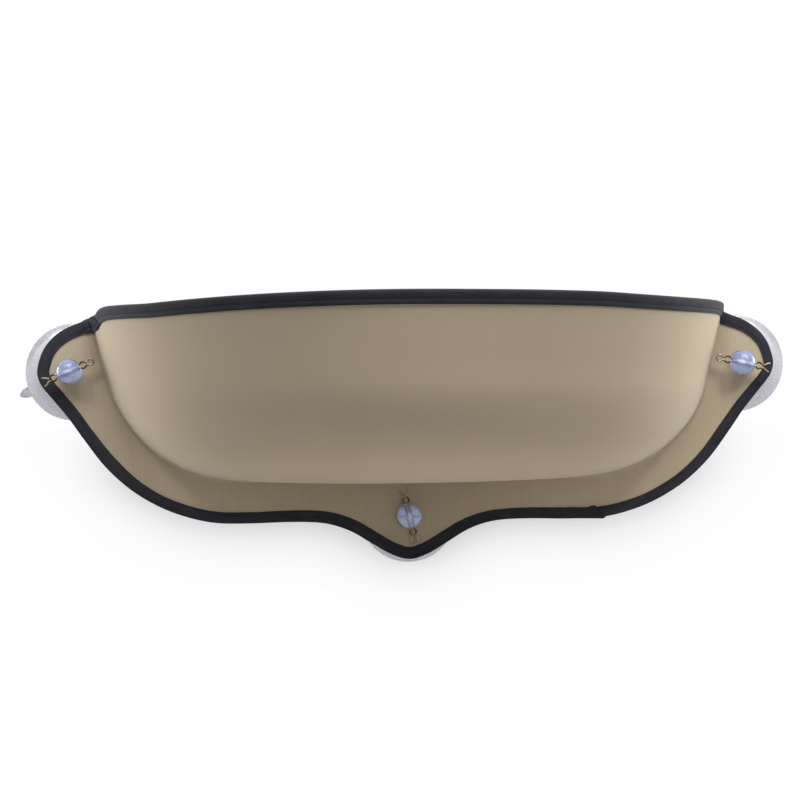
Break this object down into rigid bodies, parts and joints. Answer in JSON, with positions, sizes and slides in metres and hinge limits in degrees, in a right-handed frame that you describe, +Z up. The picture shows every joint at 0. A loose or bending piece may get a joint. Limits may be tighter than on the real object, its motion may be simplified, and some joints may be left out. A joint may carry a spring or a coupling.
{
  "type": "window mounted cat perch",
  "caption": "Half-bowl cat perch of moulded foam and cloth on a flat winged back panel, held to a window pane by suction cups with wire-locked knobs.",
  "frame": {"origin": "on the face of the window pane, midway between the axes of the two upper suction cups", "axes": "+X to the right for someone who looks at the window from inside the room, +Y out through the pane, +Z up"},
  "size_m": [0.7222, 0.2793, 0.241],
  "materials": {
    "foam": "matte",
    "tan_cloth": "matte",
    "lining_cloth": "matte",
    "binding_tape": "matte",
    "rim_tape": "matte",
    "clear_vinyl": "gloss",
    "spring_wire": "satin",
    "fleece": "matte",
    "filling": "matte"
  },
  "bodies": {
    "bed": {"bowl_foam_shell": "foam", "bowl_outer_cloth": "tan_cloth", "bowl_lining": "lining_cloth", "back_board": "foam", "board_front_facing": "lining_cloth", "board_rear_facing": "tan_cloth", "edge_binding": "binding_tape", "rim_binding": "rim_tape", "back_top_binding": "binding_tape"},
    "left_cup": {"left_suction_cup": "clear_vinyl"},
    "right_cup": {"right_suction_cup": "clear_vinyl"},
    "lower_cup": {"lower_suction_cup": "clear_vinyl"},
    "left_clip": {"left_wire_clip": "spring_wire"},
    "right_clip": {"right_wire_clip": "spring_wire"},
    "lower_clip": {"lower_wire_clip": "spring_wire"},
    "pad": {"pad_top_fleece": "fleece", "pad_base_cloth": "tan_cloth", "pad_filling": "filling"}
  },
  "joints": [
    {"name": "left_cup_spin", "type": "hinge", "parent": "bed", "child": "left_cup", "pos_m": [-0.31283, 0, 0], "axis": [0, 1, 0], "continuous": true},
    {"name": "right_cup_spin", "type": "hinge", "parent": "bed", "child": "right_cup", "pos_m": [0.31283, 0, 0], "axis": [0, 1, 0], "continuous": true},
    {"name": "lower_cup_spin", "type": "hinge", "parent": "bed", "child": "lower_cup", "pos_m": [0, 0, -0.138], "axis": [0, 1, 0], "continuous": true},
    {"name": "left_clip_turn", "type": "hinge", "parent": "left_cup", "child": "left_clip", "pos_m": [-0.31283, -0.0369, 0], "axis": [-0.9205, 0, -0.3907], "continuous": true},
    {"name": "right_clip_turn", "type": "hinge", "parent": "right_cup", "child": "right_clip", "pos_m": [0.31283, -0.0369, 0], "axis": [-0.9781, 0, 0.2079], "continuous": true},
    {"name": "lower_clip_turn", "type": "hinge", "parent": "lower_cup", "child": "lower_clip", "pos_m": [0, -0.0369, -0.138], "axis": [-0.2079, 0, 0.9781], "continuous": true},
    {"name": "pad_lift", "type": "slide", "parent": "bed", "child": "pad", "axis": [0, 0, 1], "range_m": [0, 0.2]}
  ]
}
